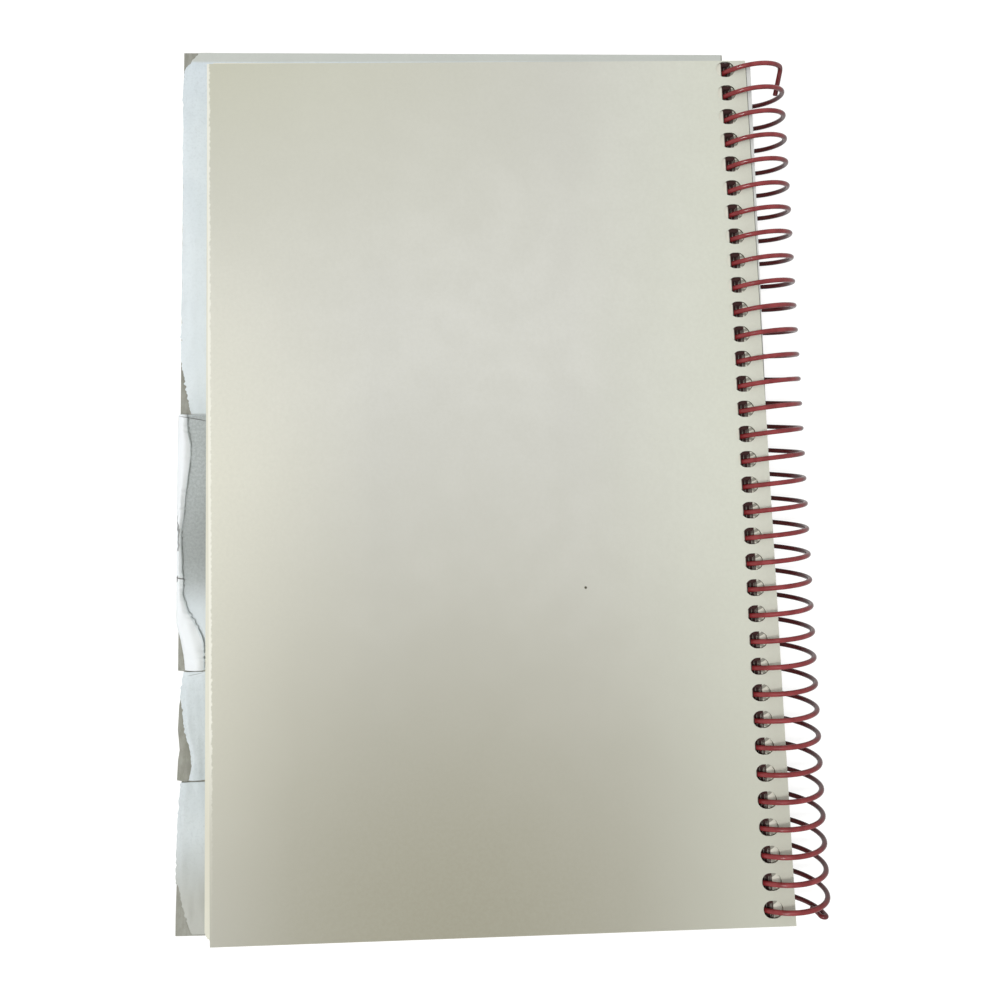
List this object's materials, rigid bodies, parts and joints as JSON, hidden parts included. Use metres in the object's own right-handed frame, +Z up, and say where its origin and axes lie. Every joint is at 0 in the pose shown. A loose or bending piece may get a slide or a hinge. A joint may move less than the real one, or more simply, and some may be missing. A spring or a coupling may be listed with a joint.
{
  "type": "spiral-bound cookbook",
  "caption": "Spiral-bound cookbook lying face down: thin card back cover, block of leaves, oversize lined front board with a torn fore-edge, and a coated wire coil",
  "frame": {"origin": "under the middle of the bounding box, on the surface the book lies on", "axes": "+X points from the fore-edge to the coil, +Y to the head of the book along the coil, +Z up through the book to its back cover"},
  "size_m": [0.1612, 0.2292, 0.0204],
  "materials": {
    "back_card": "uncoated off-white cover card, faintly mottled and yellowed",
    "leaves": "uncoated book paper, cut edges",
    "board": "grey pasted board, bare outer face",
    "lining_paper": "cool white lining paper, torn and curled along the fore-edge",
    "coated_wire": "glossy dark red plastic-coated steel wire"
  },
  "bodies": {
    "front": {"front_cover": "board", "cover_lining": "lining_paper"},
    "leaves": {"page_block": "leaves", "spiral_coil": "coated_wire"},
    "back": {"back_cover": "back_card"}
  },
  "joints": [
    {"name": "front_cover_hinge", "type": "hinge", "parent": "front", "child": "leaves", "pos_m": [0.07037, 0, 0.0102], "axis": [0, 1, 0], "range_deg": [0, 90]},
    {"name": "back_cover_hinge", "type": "hinge", "parent": "leaves", "child": "back", "pos_m": [0.07037, 0, 0.0102], "axis": [0, 1, 0], "range_deg": [0, 90]}
  ]
}
